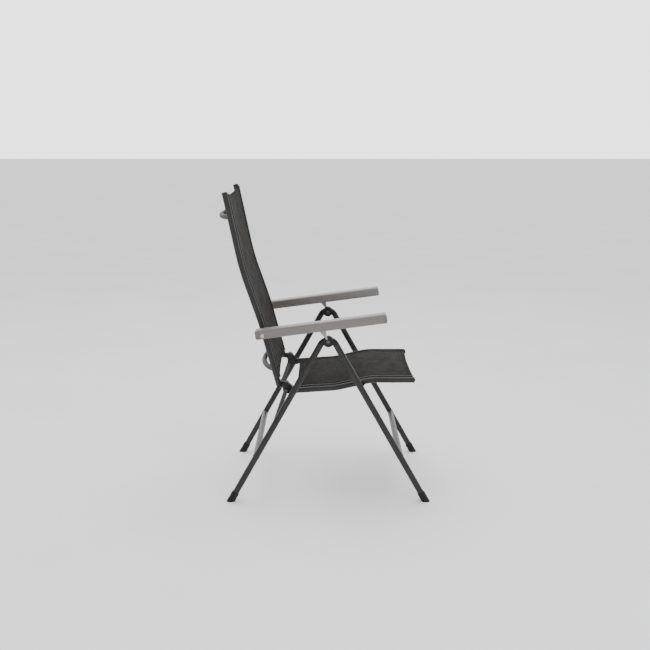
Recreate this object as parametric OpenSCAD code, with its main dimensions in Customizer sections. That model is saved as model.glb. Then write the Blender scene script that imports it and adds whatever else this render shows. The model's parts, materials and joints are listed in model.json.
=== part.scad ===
// Folding high-back garden armchair: two A-shaped leg frames hinged under the armrests, a sling
// seat hung between them, a reclining sling back, and armrests that ride on latch pins.
// +Z is up, the chair faces -Y, X is across. All sizes are in millimetres.
// Side views use [y, z] points, with y counted rearwards from the apex hinge axis.

/* [Overall] */
// Distance between the left and the right leg planes
leg_gap = 535; // [440:1:660]
// Height of the apex hinge axis above the ground
apex_z = 581; // [540:1:640]
// Distance along the ground from the apex to each foot
foot_reach = 346; // [290:1:420]
// Height of the top of the back rails above their lower ends
back_height = 668; // [560:1:800]

/* [Tubes] */
// Outer diameter of the leg tubes and their crossbars
leg_d = 22; // [18:0.5:26]
// Outer diameter of the seat and back rails
rail_d = 20; // [17:0.5:24]
// Outer diameter of the bowed crossbars between the rails
bar_d = 18; // [15:0.5:20]
// Wall of every tube
tube_wall = 1.5; // [1.2:0.1:2]
// Height of the leg crossbars above the ground
leg_bar_z = 165; // [120:1:220]
// How far the back crossbars bow rearwards
back_bow = 48; // [30:1:60]
// How far the seat crossbars bow downwards
seat_bow = 34; // [20:1:45]
// Distance from the leg plane to the rail plane
rail_inset = 54.5; // [52:0.5:70]

/* [Seat] */
// Length of the seat rails
seat_depth = 423; // [370:1:500]
// Height of the front part of the seat rails above the ground
seat_z = 430; // [410:1:450]
// Height of the seat pivot on the front leg
seat_pivot_z = 412; // [395:1:425]

/* [Armrests] */
// Overall length of an armrest with both end caps
arm_length = 453; // [400:1:500]
// Width of the armrest extrusion
arm_w = 45; // [38:1:56]
// Height of the armrest extrusion
arm_h = 31; // [28:1:36]
// Wall of the armrest extrusion
arm_wall = 2.5; // [2:0.1:3.2]
// Number of positions that the back can take
positions = 5; // [3:1:6]

/* [Hardware] */
// Diameter of the pivot pins
pin_d = 8; // [6:0.5:9]
// Diameter of the round knobs at the back pivot
knob_d = 24; // [20:1:28]
// Width of the swinging links
link_w = 15; // [13:0.5:18]
// Thickness of the swinging links
link_t = 4; // [3:0.5:5]
// Outer diameter of the plastic feet
foot_d = 27; // [25:0.5:32]

/* [Sling] */
// Thickness of the sling fabric
sling_t = 1.6; // [1:0.1:2]
// Diameter of the beading rod sewn into the sling's edges
rod_d = 4.8; // [4:0.1:5.5]

/* [Hidden] */
$fn = 48;

// clearances
fit = 0.05;         // radial clearance of a pin in a turning hole
gap = 0.3;          // side clearance between pieces that move on each other
rail_sides = 32;    // flats that the bent rails are swept with
washer = 2;         // room between a rail fitting and the link outside it
head_t = 2;         // thickness of a pin's head
head_d = pin_d + 5;

// planes across the chair
leg_x = leg_gap / 2;
rail_x = leg_x - rail_inset;
rail_out = rail_x + rail_d / 2;
arm_in = leg_x - arm_w / 2;

// leg axes: straight from the foot, then an elbow turns them level at the apex
elbow = [18, apex_z + 4];
elbow_r = 29;
leg_turn = atan2(elbow[1], foot_reach - elbow[0]);
elbow_cut = elbow_r * tan(leg_turn / 2);
function leg_y(z) = foot_reach - z / tan(leg_turn);
leg_up = [-cos(leg_turn), sin(leg_turn)];
leg_end = elbow - elbow_cut * leg_up;
leg_len = (leg_end[1] - 8) / leg_up[1];
plug_d = leg_d - 2 * tube_wall;
plug_len = 22;
rail_plug_d = (rail_d - 2 * tube_wall) * cos(180 / rail_sides) - 2 * fit;

// apex hinge
apex = [0, apex_z];
cheek_r = 18.5;
tongue_r = 17;
tongue_t = 8.6;
cheek_in = tongue_t / 2 + gap;
latch = apex + [24, 49];
strut_w = 19;
strut_t = 6;
latch_pin_len = 24;

// seat and back pivots
seat_pivot = [-leg_y(seat_pivot_z), seat_pivot_z];
back_pivot = [149, 415];
link_top = [149, 394];
link_foot_z = 286;
link_foot = [leg_y(link_foot_z), link_foot_z];
seat_rear_y = 118;
seat_front_y = seat_rear_y - seat_depth;
seat_path = [
    [seat_rear_y, seat_z - 38, 0],
    [-30, seat_z - 28, 200],
    [-150, seat_z, 200],
    [seat_front_y + 6, seat_z, 0]
];
// height of the seat rail's axis along its three stretches
function seat_line(y) =
    y < seat_path[2][0] ? seat_z :
    y < seat_path[1][0] ? lookup(y, [[seat_path[2][0], seat_z], [seat_path[1][0], seat_path[1][1]]]) :
    lookup(y, [[seat_path[1][0], seat_path[1][1]], [seat_rear_y, seat_path[0][1]]]);
bar_front_y = -228;
bar_rear_y = 70;

// back rails: a straight lower part, a lumbar bend and a straighter head part
back_foot = [173.2, 411.6];
lumbar = back_foot + [61.8, 228.4];
shoulder = back_foot + [123.8, 410.4];
back_top = [back_foot[0] + 0.265 * back_height, back_foot[1] + back_height];
back_path = [
    [back_foot[0], back_foot[1], 0],
    [lumbar[0], lumbar[1], 900],
    [shoulder[0], shoulder[1], 900],
    [back_top[0], back_top[1], 0]
];
head_slope = heading(shoulder, back_top);
upper_bar = shoulder + (0.7 * norm(back_top - shoulder)) * [cos(head_slope), sin(head_slope)];
foot_slope = heading(back_foot, lumbar);
lower_bar = back_foot + 60 * [cos(foot_slope), sin(foot_slope)];

// sling edges: a C-shaped bead rail nests on each tube, front or top and inner side
bead_in_d = rod_d + 0.4;
bead_out_d = bead_in_d + 3;
bead_off = ((rail_d + bead_out_d) / 2 + 0.05) / sqrt(2);
slot_h = sling_t + 0.6;
sling_half = rail_x - bead_off - rod_d / 2 - fit;

// armrests
arm_pivot = back_foot + [52.2, 193.4];
arm_slope = heading(arm_pivot, latch) - 0.4;
arm_drop = 4;       // the pivot lies this far under the extrusion's middle
arm_rear = 24;
rear_cap_len = 16;
front_cap_len = 12.5;
arm_round = 6;
bolt_head_t = 2;
latch_reach = norm(latch - arm_pivot);
notch_pitch = 24.5;
notch_r = 4.7;

// the row's origin is at the middle of the whole chair's box
rear_edge = upper_bar[0] + back_bow * sin(head_slope) + bar_d / 2;
front_edge = foot_reach + foot_d / 2 / sin(leg_turn);
y_shift = (front_edge - rear_edge) / 2;

function heading(p, q) = atan2(q[1] - p[1], q[0] - p[0]);
function turn(path, i) = heading(path[i], path[i + 1]) - heading(path[i - 1], path[i]);
function set_back(path, i) =
    (i == 0 || i == len(path) - 1) ? 0 : path[i][2] * tan(abs(turn(path, i)) / 2);

// ---------- helpers ----------

// A left piece as drawn, or its mirror image on the right, in the chair's frame
module sided(side) {
    translate([0, y_shift, 0])
        if (side > 0) children(); else mirror([1, 0, 0]) children();
}

module both_sides() {
    sided(1) children();
    sided(-1) children();
}

// A section drawn as [across, right-hand normal], carried along a heading in the side view
module straight(x, p, a, l) {
    translate([x, p[0], p[1]]) rotate([a - 90, 0, 0]) linear_extrude(l) children();
}

// The same section turned left through an angle, on a radius
module bend(x, p, a, d, r) {
    translate([x, p[0], p[1]]) rotate([a, 0, 0])
        translate([0, 0, r]) rotate([0, 90, 0])
            rotate_extrude(angle = d, $fn = 360) translate([r, 0]) mirror([1, 0]) rotate(90)
                children();
}

// Stations along a path whose corners are rounded: [y, z, heading]
bend_steps = 5;
function ahead(a) = [cos(a), sin(a)];
function point(path, i) = [path[i][0], path[i][1]];
function corner(path, i) =
    let (
        a = heading(path[i - 1], path[i]),
        d = turn(path, i),
        r = path[i][2] * sign(d),
        p = point(path, i) - set_back(path, i) * ahead(a),
        c = p + r * [-sin(a), cos(a)]
    )
    [
        for (k = [0 : bend_steps])
            let (b = a + d * k / bend_steps, q = c - r * [-sin(b), cos(b)]) [q[0], q[1], b]
    ];
function stations(path) =
    let (last = len(path) - 1)
    concat(
        [[path[0][0], path[0][1], heading(path[0], path[1])]],
        [for (i = [1 : last - 1]) each corner(path, i)],
        [[path[last][0], path[last][1], heading(path[last - 1], path[last])]]
    );

// A section, as points [across, right-hand normal] in anticlockwise order, carried along a path
module run(x, path, section) {
    at = stations(path);
    n = len(section);
    last = len(at) - 1;
    polyhedron(
        points = [
            for (s = at, p = section)
                [x + p[0], s[0] + p[1] * sin(s[2]), s[1] - p[1] * cos(s[2])]
        ],
        faces = concat(
            [[for (k = [0 : n - 1]) k]],
            [
                for (i = [0 : last - 1], k = [0 : n - 1])
                    let (m = (k + 1) % n) each [
                        [i * n + k, (i + 1) * n + k, (i + 1) * n + m],
                        [i * n + k, (i + 1) * n + m, i * n + m]
                    ]
            ],
            [[for (k = [n - 1 : -1 : 0]) last * n + k]]
        )
    );
}

function round_section(d, sides, at = [0, 0]) =
    [for (k = [0 : sides - 1]) at + d / 2 * [cos(k * 360 / sides), sin(k * 360 / sides)]];

module rail_tube(path) {
    difference() {
        run(rail_x, path, round_section(rail_d, rail_sides));
        run(rail_x, trimmed(path, -1, -1), round_section(rail_d - 2 * tube_wall, rail_sides));
    }
}

// The space that a straight stretch of rail takes, for the ends of the bars that meet it
module rail_space(p, a) {
    for (m = [0, 1]) mirror([m, 0, 0])
        straight(rail_x, p - 40 * ahead(a), a, 80) circle(d = rail_d + 2 * fit, $fn = 60);
}

module ring(d) {
    difference() {
        circle(d = d);
        circle(d = d - 2 * tube_wall);
    }
}

// A round pin across the chair, from x0 to x1 at a side-view point
module across(p, d, x0, x1) {
    translate([x0, p[0], p[1]]) rotate([0, 90, 0]) cylinder(d = d, h = x1 - x0);
}

// A flat shape drawn as [y, z], with a thickness across the chair
module plate(x0, x1) {
    translate([x0, 0, 0]) rotate([90, 0, 90]) linear_extrude(x1 - x0) children();
}

module disc(p, r) {
    translate(p) circle(r = r);
}

// A tube bowed from rail to rail, towards the heading a in the side view
module bowed_bar(p, a, bow) {
    r = (rail_x * rail_x + bow * bow) / (2 * bow);
    half = asin(rail_x / r);
    translate([0, p[0], p[1]]) rotate([a, 0, 0]) translate([0, bow - r, 0]) rotate(90 - half)
        rotate_extrude(angle = 2 * half, $fn = 360) translate([r, 0]) ring(bar_d);
}

// ---------- legs ----------

module leg_axis(d, from, l) {
    foot = [foot_reach, 0] + from * leg_up;
    straight(leg_x, foot, heading([0, 0], leg_up), l) circle(d = d);
}

module leg_tube() {
    start = 8 / leg_up[1];
    difference() {
        leg_axis(leg_d, start, leg_len);
        leg_axis(leg_d - 2 * tube_wall, start - 1, leg_len + 2);
    }
}

module front() {
    mirror([0, 1, 0]) children();
}

module leg_crossbar() {
    difference() {
        translate([-leg_x, leg_y(leg_bar_z), leg_bar_z]) rotate([0, 90, 0])
            linear_extrude(leg_gap) ring(leg_d);
        leg_axis(leg_d, 0, 400);
        mirror([1, 0, 0]) leg_axis(leg_d, 0, 400);
    }
}

// Plastic foot: a cap over the tube's end, with a plug inside it, cut level with the ground
module foot_cap() {
    difference() {
        union() {
            leg_axis(foot_d, -20, 56);
            leg_axis(foot_d - 3, -20, 60);
        }
        difference() {
            leg_axis(leg_d, 8 / leg_up[1], 90);
            leg_axis(plug_d, -20, 8 / leg_up[1] + 20 + plug_len);
        }
        translate([leg_x - 50, foot_reach - 100, -50]) cube([100, 200, 50]);
    }
}

// The leg's level elbow with its plug into the tube
module elbow_body() {
    bend(leg_x, leg_end, heading([0, 0], leg_up), 180 - heading([0, 0], leg_up), elbow_r)
        circle(d = leg_d);
    straight(leg_x, leg_end - plug_len * leg_up, heading([0, 0], leg_up), plug_len + 3)
        circle(d = plug_d);
}

module rear_hinge() {
    difference() {
        union() {
            elbow_body();
            across(apex, 2 * cheek_r, leg_x - leg_d / 2, leg_x + leg_d / 2);
        }
        across(apex, 2 * (cheek_r + 2 * gap), leg_x - cheek_in, leg_x + cheek_in);
        across(apex, pin_d, 0, leg_gap);
        translate([leg_x - cheek_in, -60, apex_z - 60]) cube([2 * cheek_in, 60 - 4, 120]);
        strut_body();
    }
}

module front_hinge() {
    difference() {
        union() {
            difference() {
                front() elbow_body();
                across(apex, 2 * (cheek_r + gap), leg_x - leg_d, leg_x + leg_d);
            }
            intersection() {
                union() {
                    front() elbow_body();
                    across(apex, 2 * tongue_r, 0, leg_gap);
                }
                translate([leg_x - tongue_t / 2, -60, apex_z - 60]) cube([tongue_t, 77, 120]);
            }
        }
        across(apex, pin_d + 2 * fit, 0, leg_gap);
    }
}

module apex_pin() {
    across(apex, pin_d, leg_x - leg_d / 2, leg_x + leg_d / 2);
    across(apex, head_d, leg_x + leg_d / 2, leg_x + leg_d / 2 + head_t);
    across(apex, head_d, leg_x - leg_d / 2 - head_t, leg_x - leg_d / 2);
}

// Blade that stands in a V notch of the hinge and carries the latch pin inside the armrest
module strut_body() {
    tip = 46;
    plate(leg_x + leg_d / 2 - strut_t, leg_x + leg_d / 2)
        translate(latch) rotate(heading(apex, latch) - 90) {
            circle(d = strut_w);
            polygon([
                [-strut_w / 2, 0], [-strut_w / 2, -16], [-2, -tip],
                [2, -tip], [strut_w / 2, -16], [strut_w / 2, 0]
            ]);
        }
}

module latch_strut() {
    difference() {
        strut_body();
        across(latch, pin_d, 0, leg_gap);
    }
}

module latch_pin() {
    across(latch, pin_d, leg_x - latch_pin_len / 2, leg_x + latch_pin_len / 2);
}

// ---------- pivots between legs, seat and links ----------

link_in = rail_out + 1 + washer;
link_out = link_in + link_t;

// A boss welded to the inside of a leg, for a plate to bear on
module boss(p) {
    difference() {
        across(p, pin_d + 6, link_out + gap, leg_x);
        leg_axis(leg_d, 0, 600);
        front() leg_axis(leg_d, 0, 600);
    }
}

// The boss with its shank through the plate and a head inside that
module stud(p) {
    boss(p);
    across(p, pin_d, link_in - gap, link_out + gap + 1);
    across(p, head_d - 1, link_in - gap - 1.4, link_in - gap);
}

// Swinging link with a rivet head at its foot, where it bears on the leg's boss
module link() {
    a = heading(link_foot, link_top);
    l = norm(link_top - link_foot);
    difference() {
        plate(link_in, link_out) {
            disc(link_foot, link_w / 2);
            disc(link_top, link_w / 2);
            translate(link_foot) rotate(a) translate([0, -link_w / 2]) square([l, link_w]);
        }
        across(link_top, pin_d + 2 * fit, 0, leg_gap);
    }
    across(link_foot, head_d - 1, link_in - 1.4, link_in + 1);
}

module link_pin() {
    across(link_top, pin_d, rail_x + 5, link_out + gap);
    across(link_top, head_d - 1, link_out + gap, link_out + gap + head_t);
}

// Hanger under the front part of each seat rail
module seat_front_bracket() {
    rail_z = seat_pivot_z + 10;
    difference() {
        union() {
            plate(link_in, link_out) {
                disc(seat_pivot, 9);
                polygon([
                    seat_pivot + [-9, 0], seat_pivot + [9, 0], seat_pivot + [16, 8],
                    seat_pivot + [16, 18], seat_pivot + [-16, 18], seat_pivot + [-16, 8]
                ]);
            }
            translate([rail_x + 3, seat_pivot[0] - 15, rail_z - 1])
                cube([link_in - rail_x - 2, 30, 8.5]);
        }
        across(seat_pivot, pin_d + 2 * fit, 0, leg_gap);
        rail_space([seat_pivot[0], seat_line(seat_pivot[0])], heading(seat_path[1], seat_path[2]));
    }
}

// ---------- seat ----------

module seat_rail() {
    rail_tube(seat_path);
}

module seat_bar(y, a) {
    difference() {
        bowed_bar([y, seat_line(y) - 1], -90, seat_bow);
        rail_space([y, seat_line(y)], a);
    }
}

// Clevis cast on a plug in the rail's rear end: it takes the back's tongue and the link
module seat_end_fitting() {
    in = [seat_path[0][0], seat_path[0][1]];
    a = heading(in, seat_path[1]);
    up = [sin(a), -cos(a)];
    difference() {
        union() {
            plate(rail_x - rail_d / 2 - 1, rail_out + 1) {
                disc(back_pivot, knob_d / 2);
                disc(link_top, 10);
                polygon([
                    back_pivot + [0, 12], in + 10.5 * up, in - 10 * up,
                    link_top + [2, -9.8], link_top + [9.8, 2], back_pivot + [12, 0]
                ]);
            }
            straight(rail_x, in - 3 * ahead(a), a, plug_len + 3) circle(d = rail_plug_d);
        }
        across(back_pivot, pin_d + 2 * fit, 0, leg_gap);
        across(link_top, pin_d, rail_x + 5, leg_gap);
        across(back_pivot, 2 * 24, rail_x - 5 - gap, rail_x + 5 + gap);
    }
}

// End cap of a rail: a low dome on a collar, with a plug inside the tube
module round_cap(p, a, d) {
    collar = 3;
    rise = 4;
    r = (d * d / 4 + rise * rise) / (2 * rise);
    translate([rail_x, p[0], p[1]]) rotate([a - 90, 0, 0])
        rotate_extrude() {
            square([d / 2, collar]);
            intersection() {
                translate([0, collar + rise - r]) circle(r = r, $fn = 180);
                translate([0, collar - 1]) square([d / 2, rise + 1]);
            }
            translate([0, -18]) square([rail_plug_d / 2, 19]);
        }
}

module seat_front_cap() {
    round_cap([seat_front_y + 6, seat_z], 180, rail_d);
}

// The C rail that holds a sling's beaded edge, nested beside the tube. Its slot faces the middle
// of the chair; n is -1 for the front of the back, 1 for the top of the seat
function arc(c, r, from, to, steps) =
    [for (k = [0 : steps]) let (b = from + (to - from) * k / steps) c + r * [cos(b), sin(b)]];
function bead_section(n) =
    let (
        c = [-bead_off, n * bead_off],
        out = asin(slot_h / bead_out_d),
        in = asin(slot_h / bead_in_d)
    )
    concat(
        arc(c, bead_out_d / 2, -180 + out, 180 - out, 20),
        arc(c, bead_in_d / 2, 180 - in, -180 + in, 14)
    );

function trimmed(path, head, tail) = [
    for (i = [0 : len(path) - 1])
        let (
            last = len(path) - 1,
            a = i == 0 ? heading(path[0], path[1]) : heading(path[i - 1], path[i]),
            s = i == 0 ? head : i == last ? -tail : 0
        )
        [path[i][0] + s * cos(a), path[i][1] + s * sin(a), path[i][2]]
];

module sling(path, n) {
    low = n * bead_off - sling_t / 2;
    run(0, path, [
        [-sling_half, low], [sling_half, low],
        [sling_half, low + sling_t], [-sling_half, low + sling_t]
    ]);
}

module bead_rods(path, n) {
    run(rail_x, path, round_section(rod_d, 12, [-bead_off, n * bead_off]));
}

// ---------- back ----------

module back_bar(p, a) {
    difference() {
        bowed_bar(p, a - 90, back_bow);
        rail_space(p, a);
    }
}

module back_rail() {
    difference() {
        rail_tube(back_path);
        across(arm_pivot, pin_d + 2 * fit, rail_x - rail_d, rail_x + rail_d);
    }
}

// Tongue cast on a plug in the back rail's lower end
module back_end_fitting() {
    up = [cos(foot_slope), sin(foot_slope)];
    side = [-up[1], up[0]] * rail_d / 2;
    difference() {
        union() {
            straight(rail_x, back_foot - up, foot_slope, plug_len) circle(d = rail_plug_d);
            plate(rail_x - 5, rail_x + 5) {
                disc(back_pivot, 11);
                polygon([
                    back_foot - side, back_foot + side, back_foot + side + 12 * up,
                    back_pivot + [-4, 10.2], back_pivot + [6, -9.2]
                ]);
            }
        }
        across(back_pivot, pin_d + 2 * fit, 0, leg_gap);
    }
}

// Pivot pin of the back, with a round plastic knob outside and a small head inside
module back_knob() {
    inner = rail_x - rail_d / 2 - 1;
    across(back_pivot, pin_d, inner - gap, rail_out + 1 + gap);
    across(back_pivot, head_d, inner - gap - head_t, inner - gap);
    across(back_pivot, knob_d, rail_out + 1 + gap, rail_out + 7);
    translate([rail_out + 7, back_pivot[0], back_pivot[1]]) rotate([0, 90, 0])
        cylinder(d1 = knob_d, d2 = knob_d - 8, h = 3);
}

module back_top_cap() {
    round_cap(back_top, head_slope, rail_d + 2);
}

// ---------- armrests ----------

// Armrest axes: along = 0 at the pivot, h = 0 at the extrusion's middle
arm_fwd = [cos(arm_slope), sin(arm_slope)];
arm_up = [arm_fwd[1], -arm_fwd[0]];
arm_origin = arm_pivot + arm_drop * arm_up;
arm_front = arm_length - arm_rear;

module along_arm(from, to) {
    straight(leg_x, arm_origin + from * arm_fwd, arm_slope, to - from) children();
}

// A shape drawn as [along, h] in the armrest's side view, with a thickness across the chair
module arm_plate(x0, x1) {
    plate(x0, x1) translate(arm_origin) rotate(arm_slope) mirror([0, 1]) children();
}

module arm_outline() {
    w = arm_w / 2;
    h = arm_h / 2;
    translate([-w, -h]) square([arm_w, arm_h - arm_round]);
    translate([-w + arm_round, -h]) square([arm_w - 2 * arm_round, arm_h]);
    for (s = [-1, 1]) translate([s * (w - arm_round), h - arm_round]) circle(r = arm_round);
}

module arm_hollow() {
    w = arm_w / 2 - arm_wall;
    h = arm_h / 2;
    r = arm_round - arm_wall;
    translate([-w, -h - 1]) square([2 * w, arm_h - arm_wall - r + 1]);
    translate([-w + r, -h - 1]) square([2 * w - 2 * r, arm_h - arm_wall + 1]);
    for (s = [-1, 1]) translate([s * (w - r), h - arm_wall - r]) circle(r = r);
}

module armrest() {
    difference() {
        along_arm(rear_cap_len - arm_rear, arm_front - front_cap_len)
            difference() {
                arm_outline();
                arm_hollow();
            }
        across(arm_pivot, pin_d + 2 * fit, 0, leg_gap);
    }
}

module arm_plug_section() {
    intersection() {
        arm_hollow();
        translate([-arm_w / 2, -arm_h / 2]) square([arm_w, arm_h]);
    }
}

module arm_front_cap() {
    r = 7;
    intersection() {
        along_arm(arm_front - front_cap_len, arm_front) arm_outline();
        arm_plate(0, leg_gap) {
            translate([arm_front - front_cap_len, -arm_h / 2]) square([front_cap_len - r, arm_h]);
            translate([arm_front - r - 1, r - arm_h / 2]) square([r + 1, arm_h - 2 * r]);
            for (s = [-1, 1]) translate([arm_front - r, s * (arm_h / 2 - r)]) circle(r = r);
        }
    }
    along_arm(arm_front - front_cap_len - 14, arm_front - front_cap_len + 1) arm_plug_section();
}

module arm_rear_cap() {
    r = 7;
    difference() {
        union() {
            intersection() {
                along_arm(-arm_rear, rear_cap_len - arm_rear) arm_outline();
                arm_plate(0, leg_gap) {
                    translate([r - arm_rear, -arm_h / 2]) square([rear_cap_len - r, arm_h]);
                    translate([-arm_rear, r - arm_h / 2]) square([r + 1, arm_h - 2 * r]);
                    for (s = [-1, 1]) translate([r - arm_rear, s * (arm_h / 2 - r)]) circle(r = r);
                }
            }
            along_arm(rear_cap_len - arm_rear - 1, 10) arm_plug_section();
        }
        across(arm_pivot, pin_d + 2 * fit, 0, leg_gap);
    }
}

// Toothed strip under the armrest's top: one scoop for each position of the back
module notch_rack() {
    tip = pin_d / 2 - arm_drop + 1.43 + 0.6;
    from = latch_reach - 14;
    to = latch_reach + (positions - 1) * notch_pitch + 14;
    arm_plate(leg_x - 9, leg_x + leg_d / 2 - strut_t - 1)
        difference() {
            translate([from, tip]) square([to - from, arm_h / 2 - arm_wall - tip]);
            for (i = [0 : positions - 1])
                translate([latch_reach + i * notch_pitch, tip - 0.6]) circle(r = notch_r);
        }
}

// Bolt through the back rail and the armrest, with a spacer between them
module arm_bolt() {
    x0 = rail_x - rail_d / 2 - gap;
    x1 = arm_in + arm_w + gap;
    across(arm_pivot, pin_d, x0, x1);
    across(arm_pivot, pin_d + 2, x0 - bolt_head_t, x0);
    across(arm_pivot, head_d, x1, x1 + bolt_head_t);
    across(arm_pivot, pin_d + 6, rail_out + gap, arm_in - gap);
}

// ---------- nodes ----------

module rear_leg(s) { color("#3a3b3d") sided(s) leg_tube(); }
module front_leg(s) { color("#3a3b3d") sided(s) front() leg_tube(); }
module rear_crossbar() { color("#3a3b3d") sided(1) leg_crossbar(); }
module front_crossbar() { color("#3a3b3d") sided(1) front() leg_crossbar(); }
module bead_rail(s, path, n) { color("#242527") sided(s) run(rail_x, path, bead_section(n)); }

seat_sling_path = trimmed(seat_path, 8, 0);
back_sling_path = trimmed(back_path, 30, 6);

rear_leg(1);  // rear_leg_left
rear_leg(-1);  // rear_leg_right
rear_crossbar();
color("#303133") sided(1) rear_hinge();  // rear_hinge_left
color("#303133") sided(-1) rear_hinge();  // rear_hinge_right
color("#1e1f20") sided(1) foot_cap();  // rear_foot_left
color("#1e1f20") sided(-1) foot_cap();  // rear_foot_right
color("#c4c4c2") sided(1) latch_strut();  // latch_strut_left
color("#c4c4c2") sided(-1) latch_strut();  // latch_strut_right
color("#b8b8b8") both_sides() latch_pin();  // latch_pins
color("#55565a") both_sides() apex_pin();  // apex_pins
color("#55565a") both_sides() boss(link_foot);  // link_bosses
front_leg(1);  // front_leg_left
front_leg(-1);  // front_leg_right
front_crossbar();
color("#303133") sided(1) front_hinge();  // front_hinge_left
color("#303133") sided(-1) front_hinge();  // front_hinge_right
color("#1e1f20") sided(1) front() foot_cap();  // front_foot_left
color("#1e1f20") sided(-1) front() foot_cap();  // front_foot_right
color("#55565a") both_sides() stud(seat_pivot);  // seat_studs
color("#3a3b3d") sided(1) seat_rail();  // seat_rail_left
color("#3a3b3d") sided(-1) seat_rail();  // seat_rail_right
color("#3a3b3d") sided(1) seat_bar(bar_front_y, 180);  // seat_front_bar
color("#3a3b3d") sided(1)  // seat_rear_bar
    seat_bar(bar_rear_y, heading(seat_path[0], seat_path[1]));
color("#303133") both_sides() seat_front_bracket();  // seat_front_brackets
color("#1e1f20") sided(1) seat_end_fitting();  // seat_end_fitting_left
color("#1e1f20") sided(-1) seat_end_fitting();  // seat_end_fitting_right
color("#1e1f20") both_sides() seat_front_cap();  // seat_front_caps
bead_rail(1, trimmed(seat_path, 4, 0), 1);  // seat_bead_rail_left
bead_rail(-1, trimmed(seat_path, 4, 0), 1);  // seat_bead_rail_right
color("#1e1f20") both_sides() bead_rods(seat_sling_path, 1);  // seat_bead_rods
color("#2c2c30") sided(1) sling(seat_sling_path, 1);  // seat_sling
color("#55565a") both_sides() link_pin();  // link_pins
color("#55565a") sided(1) link();  // link_left
color("#55565a") sided(-1) link();  // link_right
color("#1e1f20") sided(1) back_knob();  // back_knob_left
color("#1e1f20") sided(-1) back_knob();  // back_knob_right
color("#3a3b3d") sided(1) back_rail();  // back_rail_left
color("#3a3b3d") sided(-1) back_rail();  // back_rail_right
color("#3a3b3d") sided(1)  // back_upper_bar
    back_bar(upper_bar, head_slope);
color("#3a3b3d") sided(1)  // back_lower_bar
    back_bar(lower_bar, foot_slope);
color("#1e1f20") sided(1) back_end_fitting();  // back_end_fitting_left
color("#1e1f20") sided(-1) back_end_fitting();  // back_end_fitting_right
color("#1e1f20") both_sides() back_top_cap();  // back_top_caps
bead_rail(1, trimmed(back_path, 24, 2), -1);  // back_bead_rail_left
bead_rail(-1, trimmed(back_path, 24, 2), -1);  // back_bead_rail_right
color("#1e1f20") both_sides() bead_rods(back_sling_path, -1);  // back_bead_rods
color("#2c2c30") sided(1) sling(back_sling_path, -1);  // back_sling
color("#b8b8b8") sided(1) arm_bolt();  // arm_bolt_left
color("#b8b8b8") sided(-1) arm_bolt();  // arm_bolt_right
color("#96918f") sided(1) armrest();  // armrest_left
color("#96918f") sided(-1) armrest();  // armrest_right
color("#aaa7a5") sided(1) arm_front_cap();  // arm_front_cap_left
color("#aaa7a5") sided(-1) arm_front_cap();  // arm_front_cap_right
color("#aaa7a5") sided(1) arm_rear_cap();  // arm_rear_cap_left
color("#aaa7a5") sided(-1) arm_rear_cap();  // arm_rear_cap_right
color("#1e1f20") sided(1) notch_rack();  // notch_rack_left
color("#1e1f20") sided(-1) notch_rack();  // notch_rack_right
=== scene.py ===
"""A folding high-back garden armchair: dark tube frames, black mesh slings, grey armrests."""
import json
from math import asin, atan2, cos, hypot, pi, radians, sin, sqrt, tan

import bmesh
import bpy
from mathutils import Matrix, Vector


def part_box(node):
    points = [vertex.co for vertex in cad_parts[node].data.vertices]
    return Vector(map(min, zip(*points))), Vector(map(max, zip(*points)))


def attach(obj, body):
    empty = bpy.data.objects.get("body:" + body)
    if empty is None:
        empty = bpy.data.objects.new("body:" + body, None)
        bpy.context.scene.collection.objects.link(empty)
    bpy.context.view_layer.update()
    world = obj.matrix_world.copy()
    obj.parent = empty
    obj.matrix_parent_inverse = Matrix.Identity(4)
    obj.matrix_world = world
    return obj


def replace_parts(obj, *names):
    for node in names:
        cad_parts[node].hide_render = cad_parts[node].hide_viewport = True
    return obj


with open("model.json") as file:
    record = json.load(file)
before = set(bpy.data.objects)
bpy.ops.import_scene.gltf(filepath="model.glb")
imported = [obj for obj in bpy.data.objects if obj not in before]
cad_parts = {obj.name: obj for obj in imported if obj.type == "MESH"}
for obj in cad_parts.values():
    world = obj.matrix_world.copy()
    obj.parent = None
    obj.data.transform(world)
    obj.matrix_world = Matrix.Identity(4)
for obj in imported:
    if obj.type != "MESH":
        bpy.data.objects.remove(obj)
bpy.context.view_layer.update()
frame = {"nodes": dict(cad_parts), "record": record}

# ---- Camera ----
# Stands 3.5 m to the chair's right and 1.3 m up, nearly in line with the apex hinges, and looks
# straight across the chair, 12 degrees down.
camera = bpy.data.objects.new("camera", bpy.data.cameras.new("camera"))
bpy.context.collection.objects.link(camera)
camera.data.lens = 54.38
camera.location = (-3.5516, -0.0031, 1.3294)
camera.rotation_euler = (radians(90 - 11.88), 0, radians(-90))
bpy.context.scene.camera = camera


# ---- Leg tubes and crossbars ----
# Round aluminium tube, 22 mm, under a dark textured powder coat. The crossbars are coped to the
# legs and welded all round, and the coat goes over the weld beads.
def linear(code):
    parts = [int(code[i:i + 2], 16) / 255 for i in (1, 3, 5)]
    return [p / 12.92 if p <= 0.04045 else ((p + 0.055) / 1.055) ** 2.4 for p in parts] + [1.0]


def add(tree, kind, inputs=None, stops=(), **settings):
    """Adds a node. An input given as another node's socket is linked, and anything else is its
    value; stops are the (place, hex colour) marks of a colour ramp."""
    node = tree.nodes.new(kind)
    for name, value in settings.items():
        setattr(node, name, value)
    for name, value in (inputs or {}).items():
        if isinstance(value, bpy.types.NodeSocket):
            tree.links.new(value, node.inputs[name])
        else:
            node.inputs[name].default_value = value
    if stops:
        marks = node.color_ramp.elements
        while len(marks) < len(stops):
            marks.new(0.5)
        for mark, (at, code) in zip(marks, stops):
            mark.position = at
            mark.color = linear(code)
    return node


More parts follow.
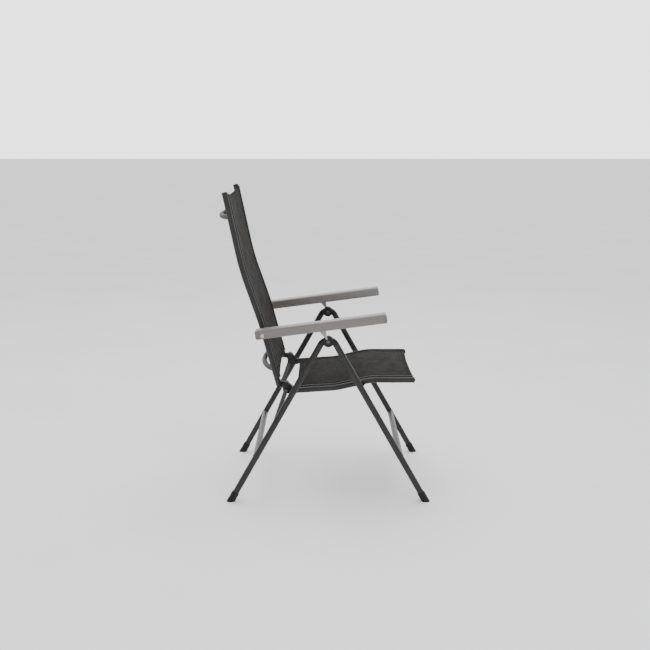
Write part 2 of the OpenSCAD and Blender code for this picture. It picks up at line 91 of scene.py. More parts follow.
def finish_of(name):
    """A new, empty material and its node tree."""
    made = bpy.data.materials.new(name)
    made.use_nodes = True
    made.node_tree.nodes.clear()
    return made, made.node_tree


def surface(tree, **inputs):
    """The shader and the output that close a material."""
    values = {name.replace("_", " "): value for name, value in inputs.items()}
    shader = add(tree, "ShaderNodeBsdfPrincipled", values)
    add(tree, "ShaderNodeOutputMaterial", {"Surface": shader.outputs[0]})


def speckle(tree, size_mm, detail=3.0, stretch=(1, 1, 1)):
    """Noise with grains size_mm across, in the object's own space."""
    where = add(tree, "ShaderNodeTexCoord").outputs["Object"]
    placed = add(tree, "ShaderNodeMapping", {"Vector": where, "Scale": stretch}).outputs[0]
    return add(tree, "ShaderNodeTexNoise",
               {"Vector": placed, "Scale": 1000 / size_mm, "Detail": detail}).outputs["Fac"]


def powder_coat(name, low, high, roughness):
    # Powder coat: polyester baked on, a dielectric of IOR 1.5. Its grain is about 0.5 mm and is
    # drawn at 1.6 mm so that it shows; the tone drifts slowly along each tube.
    made, tree = finish_of(name)
    grain = speckle(tree, 1.6, 2)
    tone = add(tree, "ShaderNodeValToRGB", {"Fac": speckle(tree, 70, 3)},
               stops=((0.35, low), (0.65, high)))
    rough = add(tree, "ShaderNodeMapRange",
                {"Value": grain, "From Min": 0.3, "From Max": 0.7,
                 "To Min": roughness - 0.05, "To Max": roughness + 0.07})
    bumps = add(tree, "ShaderNodeBump", {"Height": grain, "Distance": 0.05 / 1000,
                                         "Strength": 0.6})
    surface(tree, Base_Color=tone.outputs["Color"], Roughness=rough.outputs[0], IOR=1.5,
            Specular_IOR_Level=0.35, Normal=bumps.outputs[0])
    return made


tube_coat = powder_coat("powder_coated_aluminium", "#202020", "#272727", 0.42)
homes = {n: b for b, ns in frame["record"]["behaviour"]["bodies"].items() for n in ns}
sides = ("left", "right")


def both(*names):
    return [f"{name}_{side}" for name in names for side in sides]


def dress(material, nodes):
    """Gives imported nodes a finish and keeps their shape."""
    for node in nodes:
        held = frame["nodes"][node]
        held.data.materials.clear()
        held.data.materials.append(material)


def settle(name, verts, faces, material, like, body=None, sharp=35, uvs=None):
    """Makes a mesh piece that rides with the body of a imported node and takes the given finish."""
    mesh = bpy.data.meshes.new(name)
    mesh.from_pydata([tuple(v) for v in verts], [], faces)
    if uvs:
        layer = mesh.uv_layers.new(name="cloth")
        for loop in mesh.loops:
            layer.data[loop.index].uv = uvs[loop.vertex_index]
    shape = bmesh.new()
    shape.from_mesh(mesh)
    bmesh.ops.remove_doubles(shape, verts=shape.verts, dist=1e-6)
    bmesh.ops.recalc_face_normals(shape, faces=shape.faces)
    shape.to_mesh(mesh)
    shape.free()
    return keep(name, mesh, material, like, body, sharp)


def keep(name, mesh, material, like, body=None, sharp=35):
    mesh.materials.clear()
    mesh.materials.append(material)
    mesh.shade_smooth()
    mesh.set_sharp_from_angle(angle=radians(sharp))
    piece = bpy.data.objects.new(name, mesh)
    bpy.context.collection.objects.link(piece)
    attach(piece, body or homes[like])
    return piece


def loops(rings, closed=False):
    """Quads between successive rings of vertex numbers; the first and last ring are filled."""
    faces = []
    pairs = list(zip(rings, rings[1:])) + ([(rings[-1], rings[0])] if closed else [])
    for a, b in pairs:
        n = len(a)
        faces += [(a[k], a[(k + 1) % n], b[(k + 1) % n], b[k]) for k in range(n)]
    return faces if closed else faces + [tuple(rings[0]), tuple(rings[-1])]


def across(direction):
    """Two unit vectors square to a direction."""
    other = Vector((1, 0, 0)) if abs(direction.x) < 0.9 else Vector((0, 0, 1))
    first = direction.cross(other).normalized()
    return first, direction.cross(first).normalized()


def weld_bead(name, centre, bar, bar_r, tube, tube_r, material, like):
    """A rippled bead where a round bar that leaves the centre along bar meets a round tube."""
    bar, tube = Vector(bar).normalized(), Vector(tube).normalized()
    e1, e2 = across(bar)
    line, turns, thick = [], 96, 0.0013
    q = bar - bar.dot(tube) * tube
    for k in range(turns):
        a = 2 * pi * k / turns
        e = bar_r * (cos(a) * e1 + sin(a) * e2)
        p = e - e.dot(tube) * tube
        inside = p.dot(q) ** 2 - q.length_squared * (p.length_squared - tube_r ** 2)
        line.append(centre + e + (sqrt(max(inside, 0)) - p.dot(q)) / q.length_squared * bar)
    verts, rings = [], []
    for k, at in enumerate(line):
        ahead = (line[(k + 1) % turns] - line[k - 1]).normalized()
        f1, f2 = across(ahead)
        r = thick * (1 + 0.22 * cos(2 * pi * k / 4))
        rings.append(range(len(verts), len(verts) + 8))
        verts += [at + r * (cos(b) * f1 + sin(b) * f2) for b in (2 * pi * i / 8 for i in range(8))]
    # neighbouring rings start at nearly the same place, so the bead doesn't twist
    fixed = [list(rings[0])]
    for ring in rings[1:]:
        ring, last = list(ring), verts[fixed[-1][0]]
        start = min(range(8), key=lambda i: (verts[ring[i]] - last).length)
        ring = ring[start:] + ring[:start]
        beside = verts[fixed[-1][1]]
        if (verts[ring[1]] - beside).length > (verts[ring[-1]] - beside).length:
            ring = [ring[0]] + ring[:0:-1]
        fixed.append(ring)
    faces = loops(fixed)[:-2]
    return settle(name, verts, faces, material, like)


def middle(node):
    low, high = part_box(node)
    return (low + high) / 2


apex = middle("apex_pins")
leg_x = 0.2675
dress(tube_coat, both("rear_leg", "front_leg") + ["rear_crossbar", "front_crossbar"])
# unit vectors up along the legs, which stand 60.7 degrees from the ground
leg_lean = {"rear_leg": Vector((0, -0.4890, 0.8723)), "front_leg": Vector((0, 0.4890, 0.8723))}
for part, bar in (("rear_leg", "rear_crossbar"), ("front_leg", "front_crossbar")):
    for side, x in zip(sides, (leg_x, -leg_x)):
        joint = middle(bar)
        joint.x = x
        weld_bead(f"{bar}_weld_{side}", joint, (-x, 0, 0), 0.011, leg_lean[part], 0.011,
                  tube_coat, bar)


# ---- Apex hinges ----
# Each leg ends in an elbow moulded in glass-filled nylon: the rear one is a fork, the front one a
# tongue between its cheeks. Mould edges are rounded by about half a millimetre.
def moulded(name, low, high, roughness=0.5, grain_mm=1.4):
    # Moulded plastic: IOR 1.5. Spark-eroded moulds leave a fine matt grain, 0.3 mm on the real
    # one and drawn coarser, and flow marks change the gloss a little.
    made, tree = finish_of(name)
    grain = speckle(tree, grain_mm, 2)
    tone = add(tree, "ShaderNodeValToRGB", {"Fac": speckle(tree, 25, 2)},
               stops=((0.35, low), (0.65, high)))
    rough = add(tree, "ShaderNodeMapRange",
                {"Value": speckle(tree, 12), "From Min": 0.3, "From Max": 0.7,
                 "To Min": roughness - 0.06, "To Max": roughness + 0.08})
    bumps = add(tree, "ShaderNodeBump", {"Height": grain, "Distance": 0.04 / 1000,
                                         "Strength": 0.5})
    surface(tree, Base_Color=tone.outputs["Color"], Roughness=rough.outputs[0], IOR=1.5,
            Specular_IOR_Level=0.3, Normal=bumps.outputs[0])
    return made


def rounded(node, material, edge_mm, sharp=32):
    """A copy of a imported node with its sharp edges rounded, standing for that node."""
    mesh = frame["nodes"][node].data.copy()
    shape = bmesh.new()
    shape.from_mesh(mesh)
    bmesh.ops.remove_doubles(shape, verts=shape.verts, dist=2e-5)
    bmesh.ops.dissolve_degenerate(shape, edges=shape.edges, dist=2e-5)
    bmesh.ops.dissolve_limit(shape, angle_limit=radians(1.5), verts=shape.verts, edges=shape.edges)
    edges = [e for e in shape.edges if len(e.link_faces) == 2
             and e.calc_face_angle(0) > radians(sharp)]
    bmesh.ops.bevel(shape, geom=edges, offset=edge_mm / 1000, offset_type="OFFSET", segments=2,
                    profile=0.5, affect="EDGES", clamp_overlap=True)
    bmesh.ops.triangulate(shape, faces=[f for f in shape.faces if len(f.verts) > 4])
    shape.to_mesh(mesh)
    shape.free()
    mesh.name = f"{node}_rounded"
    piece = keep(f"{node}_rounded", mesh, material, node, sharp=40)
    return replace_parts(piece, node)


hinge_nylon = moulded("glass_filled_nylon", "#101111", "#171818")
for node in both("rear_hinge", "front_hinge"):
    rounded(node, hinge_nylon, 0.6)


# ---- Feet ----
# Black polyethylene caps pushed over the leg ends, with three grip rings and a sole moulded level
# with the ground.
def turned(name, start, axis, profile, material, like, steps=48, body=None, sharp=30):
    """A shape turned about an axis; profile is (distance along the axis, radius), in mm."""
    axis = Vector(axis).normalized()
    e1, e2 = across(axis)
    verts, rings = [], []
    for along, r in profile:
        rings.append(range(len(verts), len(verts) + steps))
        verts += [Vector(start) + axis * along / 1000 + max(r, 0.01) / 1000
                  * (cos(2 * pi * k / steps) * e1 + sin(2 * pi * k / steps) * e2)
                  for k in range(steps)]
    return settle(name, verts, loops([list(r) for r in rings]), material, like, body, sharp)


black_plastic = moulded("black_polyethylene", "#0c0c0c", "#131313", 0.45)
foot_rings = [(-30, 13.5)]
for at in (12, 17, 22):
    foot_rings += [(at - 1.3, 13.5), (at - 0.7, 12.8), (at + 0.7, 12.8), (at + 1.3, 13.5)]
foot_rings += [(34, 13.5), (36, 13.1), (37.5, 12.2), (40, 11.9), (40.6, 11.2)]
for part, leg in (("rear_foot", "rear_leg"), ("front_foot", "front_leg")):
    for side, x in zip(sides, (leg_x, -leg_x)):
        lean = leg_lean[leg]
        ground = middle(f"{leg}_{side}")
        ground -= lean * ground.z / lean.z
        foot = turned(f"{part}_cap_{side}", ground, lean, foot_rings, black_plastic,
                      f"{part}_{side}")
        shape = bmesh.new()
        shape.from_mesh(foot.data)
        cut = bmesh.ops.bisect_plane(shape, geom=shape.verts[:] + shape.edges[:] + shape.faces[:],
                                     plane_co=(0, 0, 0), plane_no=(0, 0, -1), clear_outer=True)
        bmesh.ops.contextual_create(shape, geom=[e for e in cut["geom_cut"]
                                                 if isinstance(e, bmesh.types.BMEdge)])
        bmesh.ops.recalc_face_normals(shape, faces=shape.faces)
        shape.to_mesh(foot.data)
        shape.free()
        foot.data.set_sharp_from_angle(angle=radians(30))
        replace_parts(foot, f"{part}_{side}")

# ---- Latch struts, pins and rivets ----
# Tapered blades of 6 mm steel plate, painted light grey, each set in a pocket of a rear hinge. A
# bright steel pin at its top sits inside the armrest. The apex rivets are coated dark.
strut_paint = powder_coat("grey_painted_steel", "#8a8a88", "#989896", 0.42)
for node in both("latch_strut"):
    rounded(node, strut_paint, 0.9)


def worked_metal(name, low, high, roughness, stretch=(1, 1, 1), metallic=1.0):
    # Bare or plated metal: fine scratches change its roughness and, a little, its tone. They are
    # about 0.2 mm wide on the real one and are drawn at 0.8 mm.
    made, tree = finish_of(name)
    lines = speckle(tree, 0.8, 4, stretch)
    tone = add(tree, "ShaderNodeValToRGB", {"Fac": lines}, stops=((0.3, low), (0.7, high)))
    rough = add(tree, "ShaderNodeMapRange",
                {"Value": lines, "From Min": 0.3, "From Max": 0.7,
                 "To Min": roughness - 0.07, "To Max": roughness + 0.09})
    bumps = add(tree, "ShaderNodeBump", {"Height": lines, "Distance": 0.02 / 1000,
                                         "Strength": 0.35})
    surface(tree, Base_Color=tone.outputs["Color"], Metallic=metallic,
            Roughness=rough.outputs[0], Normal=bumps.outputs[0])
    return made


zinc_steel = worked_metal("zinc_plated_steel", "#b3b3b0", "#cfcfcb", 0.3)
dark_steel = powder_coat("grey_coated_steel", "#3e3f41", "#4a4b4d", 0.38)
dress(zinc_steel, ["latch_pins"])
rivet = [(0, 0), (0, 6.4), (0.5, 6.5), (1.2, 6.0), (1.8, 4.2), (2.0, 2.2), (1.6, 2.0), (1.6, 0)]
for side, x in zip(sides, (1, -1)):
    for face, out in (("outer", 1), ("inner", -1)):
        start = Vector((x * (leg_x + out * 0.011), apex.y, apex.z))
        turned(f"apex_rivet_{face}_{side}", start, (x * out, 0, 0), rivet, dark_steel, "apex_pins")
    shank = Vector((x * (leg_x - 0.0108), apex.y, apex.z))
    piece = turned(f"apex_shank_{side}", shank, (x, 0, 0), [(0, 0), (0, 4), (21.6, 4), (21.6, 0)],
                   dark_steel, "apex_pins", 32)
    if side == "left":
        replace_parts(piece, "apex_pins")

# ---- Pivot bosses, links and seat studs ----
# Turned steel bosses are welded inside the legs. Flat steel links with round ends swing between
# the rear bosses and the seat, and the front studs carry the seat's brackets.
dress(dark_steel, ["link_bosses", "seat_studs", "link_pins"])
for node in both("link"):
    rounded(node, dark_steel, 0.5)

# ---- Seat frame ----
# Two 20 mm tubes bent in one plane, with a bowed bar welded between them near each end. The front
# brackets, the rear clevises and the front end caps are moulded in black plastic.
def bent(line, head=0.0, tail=0.0, step=12):
    """(y, z, heading, distance) in mm along a side-view line of (y, z, corner radius)."""
    line = [list(p) for p in line]
    for end, inner, cut in ((0, 1, head), (-1, -2, tail)):
        away = atan2(line[inner][1] - line[end][1], line[inner][0] - line[end][0])
        line[end][0] += cut * cos(away)
        line[end][1] += cut * sin(away)
    ways = [atan2(b[1] - a[1], b[0] - a[0]) for a, b in zip(line, line[1:])]
    marks = [(line[0][0], line[0][1], ways[0])]
    for (y, z, r), a, b in zip(line[1:-1], ways, ways[1:]):
        turn = (b - a + pi) % (2 * pi) - pi
        bend = r * (1 if turn > 0 else -1)
        back = r * tan(abs(turn) / 2)
        cy = y - back * cos(a) - bend * sin(a)
        cz = z - back * sin(a) + bend * cos(a)
        steps = max(4, int(abs(turn) * r / step))
        for k in range(steps + 1):
            c = a + turn * k / steps
            marks.append((cy + bend * sin(c), cz - bend * cos(c), c))
    marks.append((line[-1][0], line[-1][1], ways[-1]))
    run, total = [marks[0] + (0.0,)], 0.0
    for a, b in zip(marks, marks[1:]):
        far = hypot(b[0] - a[0], b[1] - a[1])
        parts = max(1, int(far / step))
        turn = (b[2] - a[2] + pi) % (2 * pi) - pi
        for k in range(1, parts + 1):
            t = k / parts
            run.append((a[0] + (b[0] - a[0]) * t, a[1] + (b[1] - a[1]) * t,
                        a[2] + turn * t, total + far * t))
        total += far
    return run


def carried(name, run, x, section, material, like, sharp=35, lie=None):
    """A section of (across, above) points in mm carried along a run. lie moves single points."""
    verts, rings, uvs = [], [], []
    length = run[-1][3]
    for y, z, way, far in run:
        rings.append(list(range(len(verts), len(verts) + len(section))))
        for across_, above in section:
            slide = 0.0
            if lie:
                above, slide = lie(across_, above, far, length)
            verts.append(Vector((x + across_ / 1000,
                                 (y + above * sin(way) + slide * cos(way)) / 1000,
                                 (z - above * cos(way) + slide * sin(way)) / 1000)))
            uvs.append((across_ / 1000, (far + slide) / 1000))
    return settle(name, verts, loops(rings), material, like, sharp=sharp, uvs=uvs)


def ring(radius, steps, at=(0, 0)):
    return [(at[0] + radius * cos(2 * pi * k / steps), at[1] + radius * sin(2 * pi * k / steps))
            for k in range(steps)]


seat_line = [(103.6, 392, 0), (-44.4, 402, 200), (-164.4, 430, 200), (-313.4, 430, 0)]
rail_x = 0.213
for side, x in zip(sides, (rail_x, -rail_x)):
    rail = carried(f"seat_rail_tube_{side}", bent(seat_line), x, ring(10, 40), tube_coat,
                   f"seat_rail_{side}")
    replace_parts(rail, f"seat_rail_{side}")
bar_coat = powder_coat("black_powder_coat", "#191919", "#202020", 0.6)
for node in ("seat_front_bar", "seat_rear_bar"):
    rounded(node, bar_coat, 0.3, 50)
rounded("seat_front_brackets", hinge_nylon, 0.7)
for node in both("seat_end_fitting") + ["seat_front_caps"]:
    rounded(node, black_plastic, 0.5)

# ---- Seat sling ----
# Woven PVC-coated polyester, close weave, hemmed at both ends and doubled along the sides, where a
# beading rod slides into a C-shaped aluminium rail. It sags a few millimetres and its front edge
# is drawn in between the rails.
def woven(name, low, high):
    # Plain weave of coated yarn: IOR 1.5, each yarn a round matt strand. Yarns are 1 mm apart
    # on the real cloth and drawn 2.4 mm apart, and the tone wanders as the cloth stretches. The
    # colour also follows the yarn height: painted shade, near black, in the gaps between yarns and
    # a painted highlight on the yarn crowns.
    made, tree = finish_of(name)
    place = add(tree, "ShaderNodeSeparateXYZ",
                {"Vector": add(tree, "ShaderNodeUVMap", uv_map="cloth").outputs[0]})
    pitch = 0.0024

    def yarn(axis):
        turns = add(tree, "ShaderNodeMath", {0: place.outputs[axis], 1: pi / pitch},
                    operation="MULTIPLY").outputs[0]
        wave = add(tree, "ShaderNodeMath", {0: turns}, operation="SINE").outputs[0]
        return wave, add(tree, "ShaderNodeMath", {0: wave}, operation="ABSOLUTE").outputs[0]

    (u, warp), (v, weft) = yarn("X"), yarn("Y")
    over = add(tree, "ShaderNodeMath", {0: u, 1: v}, operation="MULTIPLY").outputs[0]
    on_top = add(tree, "ShaderNodeMath", {0: over, 1: 0.0}, operation="GREATER_THAN").outputs[0]
    height = add(tree, "ShaderNodeMix", {"Factor": on_top, "A": weft, "B": warp}).outputs[0]
    # Painted shade and highlight: near black in the gaps between yarns, the low colour on their
    # flanks, and the lighter high colour on their crowns.
    tone = add(tree, "ShaderNodeValToRGB", {"Fac": height},
               stops=((0.1, "#050505"), (0.75, low), (1.0, high))).outputs["Color"]
    drift = add(tree, "ShaderNodeValToRGB", {"Fac": speckle(tree, 90, 2)},
                stops=((0.3, "#d8d8dc"), (0.7, "#ffffff"))).outputs["Color"]
    colour = add(tree, "ShaderNodeMix", {"Factor": 1.0}, data_type="RGBA", blend_type="MULTIPLY")
    tree.links.new(tone, colour.inputs[6])
    tree.links.new(drift, colour.inputs[7])
    rough = add(tree, "ShaderNodeMapRange",
                {"Value": speckle(tree, 30), "From Min": 0.3, "From Max": 0.7,
                 "To Min": 0.7, "To Max": 0.85})
    bumps = add(tree, "ShaderNodeBump", {"Height": height, "Distance": 0.25 / 1000,
                                         "Strength": 0.7})
    surface(tree, Base_Color=colour.outputs[2], IOR=1.5, Specular_IOR_Level=0.05,
            Roughness=rough.outputs[0], Normal=bumps.outputs[0])
    return made


def extruded_black(name):
    # Anodised extrusion: metal under a dyed oxide film, with the drawing lines of its die.
    made, tree = finish_of(name)
    lines = speckle(tree, 1.2, 3, (1, 1, 0.15))
    tone = add(tree, "ShaderNodeValToRGB", {"Fac": lines},
               stops=((0.3, "#1b1c1e"), (0.7, "#2a2b2d")))
    rough = add(tree, "ShaderNodeMapRange", {"Value": lines, "From Min": 0.3, "From Max": 0.7,
                                             "To Min": 0.34, "To Max": 0.46})
    bumps = add(tree, "ShaderNodeBump", {"Height": lines, "Distance": 0.02 / 1000,
                                         "Strength": 0.4})
    surface(tree, Base_Color=tone.outputs["Color"], Metallic=0.4, Roughness=rough.outputs[0],
            Normal=bumps.outputs[0])
    return made


def c_section(above):
    """The bead rail's wall: an open ring whose mouth faces the middle of the chair."""
    out, inn = asin(2.2 / 8.2), asin(2.2 / 5.2)
    outer = [(-10 + 4.1 * cos(a), above + 4.1 * sin(a))
             for a in (-pi + out + (2 * pi - 2 * out) * k / 26 for k in range(27))]
    inner = [(-10 + 2.6 * cos(a), above + 2.6 * sin(a))
             for a in (pi - inn - (2 * pi - 2 * inn) * k / 18 for k in range(19))]
    return outer + inner


def mirrored(section, x):
    return section if x > 0 else [(-a, b) for a, b in reversed(section)]


def thread_rows():
    """Geometry nodes that lay stitches along mesh lines: a dipped thread between two holes."""
    tree = bpy.data.node_groups.new("stitch_rows", "GeometryNodeTree")
    for name, kind in (("Geometry", "NodeSocketGeometry"), ("Spacing", "NodeSocketFloat"),
                       ("Stitch length", "NodeSocketFloat"), ("Thread radius", "NodeSocketFloat"),
                       ("Thread", "NodeSocketMaterial")):
        tree.interface.new_socket(name, in_out="INPUT", socket_type=kind)
    tree.interface.new_socket("Geometry", in_out="OUTPUT", socket_type="NodeSocketGeometry")
    given = add(tree, "NodeGroupInput").outputs
    line = add(tree, "GeometryNodeMeshToCurve", {"Mesh": given["Geometry"]}).outputs[0]
    even = add(tree, "GeometryNodeResampleCurve", {"Curve": line, "Length": given["Spacing"]},
               mode="LENGTH")
    bead = add(tree, "GeometryNodeMeshUVSphere", {"Segments": 6, "Rings": 6, "Radius": 1.0})
    size = add(tree, "ShaderNodeCombineXYZ", {"X": given["Thread radius"],
                                              "Y": given["Thread radius"],
                                              "Z": given["Stitch length"]}).outputs[0]
    shaped = add(tree, "GeometryNodeTransform", {"Geometry": bead.outputs[0], "Scale": size})
    ahead = add(tree, "GeometryNodeInputTangent").outputs[0]
    aim = add(tree, "FunctionNodeAlignRotationToVector", {"Vector": ahead}, axis="Z").outputs[0]
    laid = add(tree, "GeometryNodeInstanceOnPoints",
               {"Points": even.outputs[0], "Instance": shaped.outputs[0], "Rotation": aim})
    real = add(tree, "GeometryNodeRealizeInstances", {"Geometry": laid.outputs[0]}).outputs[0]
    done = add(tree, "GeometryNodeSetMaterial", {"Geometry": real, "Material": given["Thread"]})
    add(tree, "NodeGroupOutput", {"Geometry": done.outputs[0]})
    return tree


rows_of_stitches = thread_rows()
# The second colour of each weave is the painted highlight on its yarn crowns.
sling_cloth = woven("pvc_coated_polyester_weave", "#292725", "#3d3a37")
hem_cloth = woven("doubled_polyester_weave", "#1d1c1b", "#2b2928")
thread = moulded("bonded_polyester_thread", "#3a3937", "#484644", 0.6, 0.6)
rail_black = extruded_black("black_anodised_aluminium")
half = 200.4


def sling(part, line, above, sign, head, tail, sag, draw):
    """The cloth between two rails, its hems, its stitches and the welts in the bead rails."""
    run = bent(line, head, tail, 9)
    length = run[-1][3]
    thick = 0.7  # half the cloth's thickness
    hem, end_hem, hem_t = 22, 26, 0.55
    stitch_lift = thick + 0.75

    def lie(across_, at, far, length):
        wide = 1 - (across_ / half) ** 2
        ends = min(1.0, far / 60, (length - far) / 60)
        near_end = max(0.0, 1 - (length - far) / 50)
        near_start = max(0.0, 1 - far / 50)
        slide = wide * (draw[0] * near_start ** 2 - draw[1] * near_end ** 2)
        return at + sag * wide * (0.45 + 0.55 * ends), slide

    columns = [half * (2 * k / 40 - 1) for k in range(41)]
    flat = [(a, above - thick) for a in columns] + [(a, above + thick) for a in reversed(columns)]
    cloth = carried(f"{part}_cloth", run, 0, flat, sling_cloth, f"{part}_sling", 60, lie)
    for side, to in zip(sides, (1, -1)):
        band = sorted(to * (half - 0.4 - hem * k / 4) for k in range(5))
        for face, out in (("under", 1), ("over", -1)):
            low, high = above + out * thick, above + out * (thick + hem_t)
            strip = [(a, low) for a in band] + [(a, high) for a in reversed(band)]
            carried(f"{part}_side_hem_{face}_{side}", run, 0, strip, hem_cloth,
                                  f"{part}_sling", 60, lie)
    for end, stretch in (("start", [p for p in run if p[3] <= end_hem]),
                         ("end", [p for p in run if p[3] >= length - end_hem])):
        inner = [a for a in columns if abs(a) < half - hem - 0.5]
        low, high = above + sign * thick, above + sign * (thick + hem_t)
        strip = [(a, low) for a in inner] + [(a, high) for a in reversed(inner)]

        def lie_end(across_, at, far, _):
            return lie(across_, at, far, length)

        carried(f"{part}_{end}_hem", stretch, 0, strip, hem_cloth,
                              f"{part}_sling", 60, lie_end)
    # stitch rows: two down each side hem and one across each end, on both faces of the cloth
    verts, edges = [], []

    def row(points):
        start = len(verts)
        verts.extend(points)
        edges.extend((start + k, start + k + 1) for k in range(len(points) - 1))

    def spot(across_, station, lift):
        y, z, way, far = station
        at, slide = lie(across_, above + lift, far, length)
        return (across_ / 1000, (y + at * sin(way) + slide * cos(way)) / 1000,
                (z - at * cos(way) + slide * sin(way)) / 1000)

    for lift in (-stitch_lift, stitch_lift):
        for to in (1, -1):
            for inset in (hem - 3, 5):
                row([spot(to * (half - inset), s, lift) for s in run])
        for station in (min(run, key=lambda s: abs(s[3] - 20)),
                        min(run, key=lambda s: abs(s[3] - length + 20))):
            row([spot(a, station, lift) for a in columns if abs(a) < half - hem])
    mesh = bpy.data.meshes.new(f"{part}_stitches")
    mesh.from_pydata(verts, edges, [])
    source = bpy.data.objects.new(f"{part}_stitch_lines", mesh)
    bpy.context.collection.objects.link(source)
    laid = source.modifiers.new("stitches", "NODES")
    laid.node_group = rows_of_stitches
    named = {i.name: i.identifier for i in rows_of_stitches.interface.items_tree
             if i.in_out == "INPUT"}
    laid[named["Spacing"]] = 0.0045
    laid[named["Stitch length"]] = 0.0016
    laid[named["Thread radius"]] = 0.00035
    laid[named["Thread"]] = thread
    source.update_tag()
    ready = source.evaluated_get(bpy.context.evaluated_depsgraph_get())
    stitched = bpy.data.meshes.new_from_object(ready)
    bpy.data.objects.remove(source)
    keep(f"{part}_stitches", stitched, thread, f"{part}_sling")
    welts = []
    for side, x in zip(sides, (rail_x, -rail_x)):
        sleeve = mirrored(ring(2.4, 14, (-10, above)), x)
        welts.append(carried(f"{part}_welt_{side}", run, x, sleeve, hem_cloth,
                             f"{part}_bead_rods"))
        rail = carried(f"{part}_bead_channel_{side}", bent(line, head - 4, max(tail - 4, 0)), x,
                       mirrored(c_section(above), x), rail_black, f"{part}_bead_rail_{side}", 50)
        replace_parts(rail, f"{part}_bead_rail_{side}")
    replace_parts(cloth, f"{part}_sling")
    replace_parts(welts[0], f"{part}_bead_rods")
    return cloth


sling("seat", seat_line, 10, 1, 8, 0, 5, (2, 7))

# ---- Pivot knobs ----
# Steel pins through clevis and tongue, with a black coated thumb knob outside and a flat head
# inside.
knob_black = powder_coat("satin_black_coat", "#0c0c0d", "#131314", 0.35)
pivot = middle("back_knob_left")
for side, x in zip(sides, (1, -1)):
    knob = [(0, 0), (0, 7), (2.6, 7), (2.6, 4), (24.6, 4), (24.6, 11.4), (25.4, 12), (29.6, 12),
            (30.6, 11.5), (32.2, 9.6), (33.1, 7.2), (33.1, 6.2), (32.5, 5.6), (32.3, 0)]
    start = Vector((x * 0.1998, pivot.y, pivot.z))
    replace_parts(turned(f"back_thumb_knob_{side}", start, (x, 0, 0), knob, knob_black,
                       f"back_knob_{side}"), f"back_knob_{side}")

# ---- Back frame ----
# Two 20 mm tubes bent back a little at the lumbar and forward at the shoulder, joined by two bars
# that bow rearwards.
# Tongues plug into their lower ends and round caps close their tops.
back_line = [(158.8, 411.6, 0), (220.6, 640, 900), (282.6, 822, 900), (335.8, 1079.6, 0)]
for side, x in zip(sides, (rail_x, -rail_x)):
    rail = carried(f"back_rail_tube_{side}", bent(back_line), x, ring(10, 40), tube_coat,
                   f"back_rail_{side}")
    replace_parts(rail, f"back_rail_{side}")
for node in ("back_upper_bar", "back_lower_bar"):
    rounded(node, bar_coat, 0.3, 50)
for node in both("back_end_fitting") + ["back_top_caps"]:
    rounded(node, black_plastic, 0.5)

# ---- Back sling ----
# The same cloth as the seat's, hemmed and beaded in the same way, and hung on the front of the
# back rails. It stops short of their lower ends, where the tongues plug in.
sling("back", back_line, -10, -1, 30, 6, 6, (3, 4))

# ---- Armrests ----
# An open aluminium channel, anodised warm grey, with lighter moulded caps pushed into both ends
# and a toothed plastic strip inside. A zinc-plated bolt with a spacer holds it to the back rail.
def anodised(name, low, high):
    # Satin anodising: an oxide film of IOR about 1.6 over brushed metal. Brush lines run along
    # the armrest, 0.1 mm on the real one and drawn at 1 mm.
    made, tree = finish_of(name)
    lines = speckle(tree, 1.0, 4, (1, 0.04, 1))
    tone = add(tree, "ShaderNodeValToRGB", {"Fac": lines}, stops=((0.25, low), (0.75, high)))
    rough = add(tree, "ShaderNodeMapRange", {"Value": lines, "From Min": 0.3, "From Max": 0.7,
                                             "To Min": 0.36, "To Max": 0.5})
    bumps = add(tree, "ShaderNodeBump", {"Height": lines, "Distance": 0.02 / 1000,
                                         "Strength": 0.4})
    surface(tree, Base_Color=tone.outputs["Color"], Metallic=0.25, Roughness=rough.outputs[0],
            IOR=1.6, Normal=bumps.outputs[0])
    return made


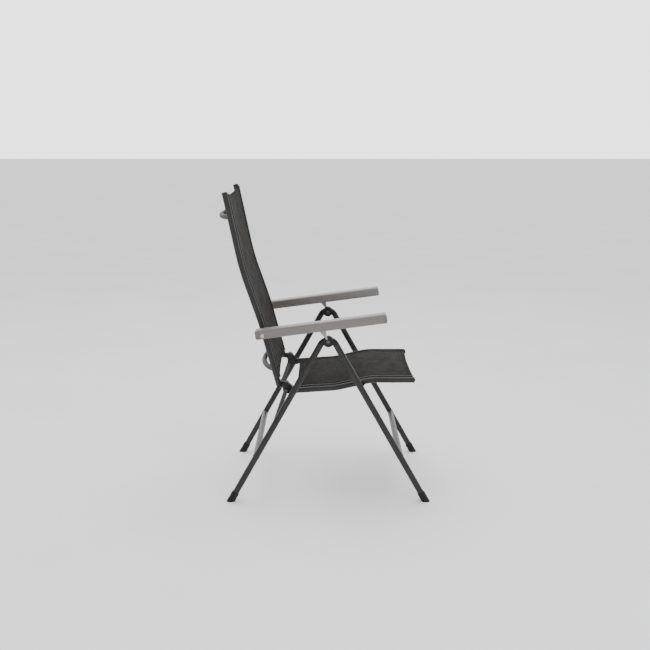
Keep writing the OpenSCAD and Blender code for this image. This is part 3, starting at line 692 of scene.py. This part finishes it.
arm_grey = anodised("warm_grey_anodised_aluminium", "#6c6966", "#777471")
cap_grey = moulded("light_grey_moulding", "#6e6b69", "#787573", 0.42)
bolt_head = [(0, 0), (0, 5), (2.0, 5), (2.0, 4), (25, 4), (25, 7), (43.5, 7), (43.5, 4), (88.4, 4),
             (88.4, 7.0), (89.4, 7.0), (90.7, 6.2), (91.5, 4.6), (91.6, 3.2), (90.3, 2.9),
             (90.3, 0)]
bolt = middle("arm_bolt_left")
for side, x in zip(sides, (1, -1)):
    rounded(f"armrest_{side}", arm_grey, 0.9)
    for node in ("arm_front_cap", "arm_rear_cap"):
        rounded(f"{node}_{side}", cap_grey, 0.7)
    rounded(f"notch_rack_{side}", black_plastic, 0.4)
    start = Vector((x * 0.2007, bolt.y, bolt.z))
    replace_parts(turned(f"arm_bolt_turned_{side}", start, (x, 0, 0), bolt_head, zinc_steel,
                       f"arm_bolt_{side}"), f"arm_bolt_{side}")

# ---- Floor and light ----
# A white floor that runs out of sight, a bright backdrop behind the chair that fades towards the
# front, a large soft lamp beside the camera and one overhead.
floor_mesh = bpy.data.meshes.new("floor")
floor_mesh.from_pydata([(-30, -30, 0), (30, -30, 0), (30, 30, 0), (-30, 30, 0)], [], [(0, 1, 2, 3)])
floor = bpy.data.objects.new("floor", floor_mesh)
bpy.context.collection.objects.link(floor)
floor_paint, floor_tree = finish_of("white_paint")
floor_tone = add(floor_tree, "ShaderNodeValToRGB", {"Fac": speckle(floor_tree, 400, 2)},
                 stops=((0.3, "#fafafa"), (0.7, "#ffffff")))
surface(floor_tree, Base_Color=floor_tone.outputs["Color"], Roughness=0.85)
floor_mesh.materials.append(floor_paint)
world = bpy.data.worlds.new("studio")
bpy.context.scene.world = world
world.use_nodes = True
sky = world.node_tree
sky.nodes.clear()
looking = add(sky, "ShaderNodeTexCoord").outputs["Generated"]
behind = add(sky, "ShaderNodeSeparateXYZ", {"Vector": looking}).outputs["X"]
glow = add(sky, "ShaderNodeMapRange", {"Value": behind, "From Min": 0.1, "From Max": 0.9,
                                       "To Min": 0.8, "To Max": 2.8}).outputs[0]
backdrop = add(sky, "ShaderNodeBackground", {"Color": linear("#ffffff"), "Strength": glow})
add(sky, "ShaderNodeOutputWorld", {"Surface": backdrop.outputs[0]})
for name, watts, wide, at, aim in (
        ("key_lamp", 38, 2.6, (-3.2, -1.6, 2.9), (0, 0, 0.5)),
        ("top_lamp", 60, 3.0, (0.4, 0.5, 3.6), (0, 0, 0.5))):
    lamp = bpy.data.objects.new(name, bpy.data.lights.new(name, "AREA"))
    lamp.data.energy = watts
    lamp.data.size = wide
    lamp.location = at
    lamp.rotation_euler = (Vector(aim) - Vector(at)).to_track_quat("-Z", "Y").to_euler()
    bpy.context.collection.objects.link(lamp)
